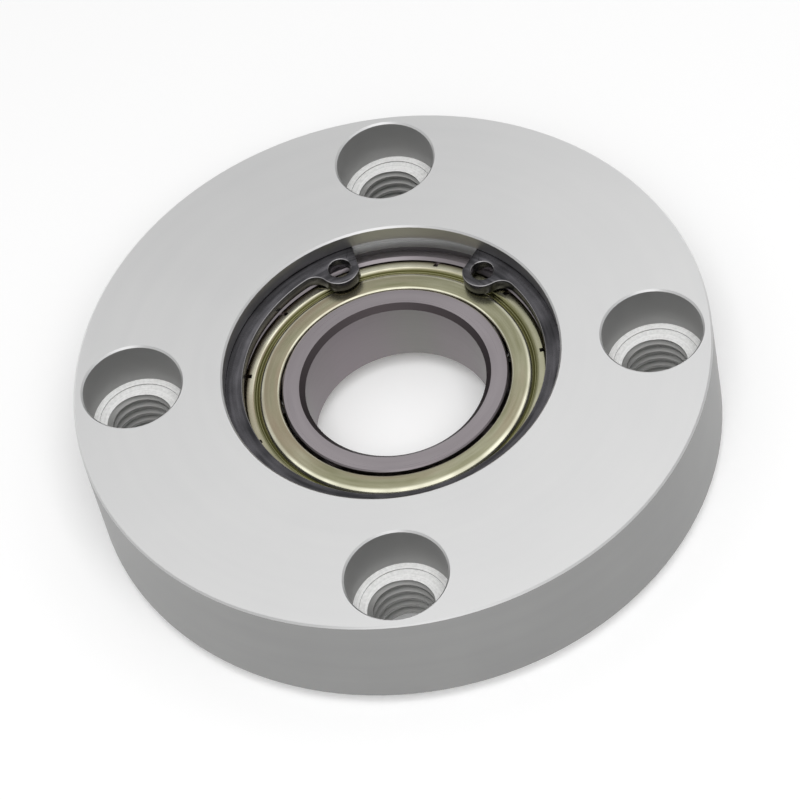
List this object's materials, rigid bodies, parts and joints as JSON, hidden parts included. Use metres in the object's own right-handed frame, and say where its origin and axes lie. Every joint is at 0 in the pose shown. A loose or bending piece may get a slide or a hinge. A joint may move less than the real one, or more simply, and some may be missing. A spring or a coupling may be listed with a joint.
{
  "type": "round flange bearing unit",
  "caption": "Round aluminium flange housing with a shielded deep groove ball bearing held by a snap ring, a pilot boss and counterbored tapped screw holes; carries a shaft through a wall.",
  "frame": {"origin": "on the shaft axis, in the plane of the flange's mounting face, at the root of the pilot boss", "axes": "+Z along the shaft axis, from the pilot boss towards the snap ring; the screw holes lie on X and Y"},
  "size_m": [0.07, 0.07, 0.015],
  "materials": {
    "housing_aluminium": "satin turned",
    "bearing_steel": "ground",
    "shield_steel": "yellow passivated",
    "snap_ring_steel": "black phosphated spring steel",
    "cage_steel": "pressed sheet",
    "ball_steel": "polished"
  },
  "bodies": {
    "housing": {"flange_housing": "housing_aluminium", "retaining_ring": "snap_ring_steel", "outer_ring": "bearing_steel", "front_shield": "shield_steel", "rear_shield": "shield_steel"},
    "inner_ring": {"inner_ring": "bearing_steel"},
    "cage": {"front_cage": "cage_steel", "rear_cage": "cage_steel", "cage_rivets": "cage_steel"},
    "ball_01": {"ball_01": "ball_steel"},
    "ball_02": {"ball_02": "ball_steel"},
    "ball_03": {"ball_03": "ball_steel"},
    "ball_04": {"ball_04": "ball_steel"},
    "ball_05": {"ball_05": "ball_steel"},
    "ball_06": {"ball_06": "ball_steel"},
    "ball_07": {"ball_07": "ball_steel"},
    "ball_08": {"ball_08": "ball_steel"},
    "ball_09": {"ball_09": "ball_steel"},
    "ball_10": {"ball_10": "ball_steel"},
    "ball_11": {"ball_11": "ball_steel"}
  },
  "joints": [
    {"name": "inner_ring_spin", "type": "hinge", "parent": "housing", "child": "inner_ring", "pos_m": [0, 0, 0.0049], "axis": [0, 0, 1], "continuous": true},
    {"name": "cage_orbit", "type": "hinge", "parent": "housing", "child": "cage", "pos_m": [0, 0, 0.0049], "axis": [0, 0, 1], "continuous": true},
    {"name": "ball_01_spin", "type": "hinge", "parent": "cage", "child": "ball_01", "pos_m": [0.01425, 0, 0.0049], "axis": [0, 0, 1], "continuous": true},
    {"name": "ball_02_spin", "type": "hinge", "parent": "cage", "child": "ball_02", "pos_m": [0.01199, 0.0077, 0.0049], "axis": [0, 0, 1], "continuous": true},
    {"name": "ball_03_spin", "type": "hinge", "parent": "cage", "child": "ball_03", "pos_m": [0.00592, 0.01296, 0.0049], "axis": [0, 0, 1], "continuous": true},
    {"name": "ball_04_spin", "type": "hinge", "parent": "cage", "child": "ball_04", "pos_m": [-0.00203, 0.0141, 0.0049], "axis": [0, 0, 1], "continuous": true},
    {"name": "ball_05_spin", "type": "hinge", "parent": "cage", "child": "ball_05", "pos_m": [-0.00933, 0.01077, 0.0049], "axis": [0, 0, 1], "continuous": true},
    {"name": "ball_06_spin", "type": "hinge", "parent": "cage", "child": "ball_06", "pos_m": [-0.01367, 0.00401, 0.0049], "axis": [0, 0, 1], "continuous": true},
    {"name": "ball_07_spin", "type": "hinge", "parent": "cage", "child": "ball_07", "pos_m": [-0.01367, -0.00401, 0.0049], "axis": [0, 0, 1], "continuous": true},
    {"name": "ball_08_spin", "type": "hinge", "parent": "cage", "child": "ball_08", "pos_m": [-0.00933, -0.01077, 0.0049], "axis": [0, 0, 1], "continuous": true},
    {"name": "ball_09_spin", "type": "hinge", "parent": "cage", "child": "ball_09", "pos_m": [-0.00203, -0.0141, 0.0049], "axis": [0, 0, 1], "continuous": true},
    {"name": "ball_10_spin", "type": "hinge", "parent": "cage", "child": "ball_10", "pos_m": [0.00592, -0.01296, 0.0049], "axis": [0, 0, 1], "continuous": true},
    {"name": "ball_11_spin", "type": "hinge", "parent": "cage", "child": "ball_11", "pos_m": [0.01199, -0.0077, 0.0049], "axis": [0, 0, 1], "continuous": true}
  ],
  "couplings": [
    {"joint": "cage_orbit", "follows": "inner_ring_spin", "ratio": 0.41646},
    {"joint": "ball_01_spin", "follows": "inner_ring_spin", "ratio": -2.9089},
    {"joint": "ball_02_spin", "follows": "inner_ring_spin", "ratio": -2.9089},
    {"joint": "ball_03_spin", "follows": "inner_ring_spin", "ratio": -2.9089},
    {"joint": "ball_04_spin", "follows": "inner_ring_spin", "ratio": -2.9089},
    {"joint": "ball_05_spin", "follows": "inner_ring_spin", "ratio": -2.9089},
    {"joint": "ball_06_spin", "follows": "inner_ring_spin", "ratio": -2.9089},
    {"joint": "ball_07_spin", "follows": "inner_ring_spin", "ratio": -2.9089},
    {"joint": "ball_08_spin", "follows": "inner_ring_spin", "ratio": -2.9089},
    {"joint": "ball_09_spin", "follows": "inner_ring_spin", "ratio": -2.9089},
    {"joint": "ball_10_spin", "follows": "inner_ring_spin", "ratio": -2.9089},
    {"joint": "ball_11_spin", "follows": "inner_ring_spin", "ratio": -2.9089}
  ]
}
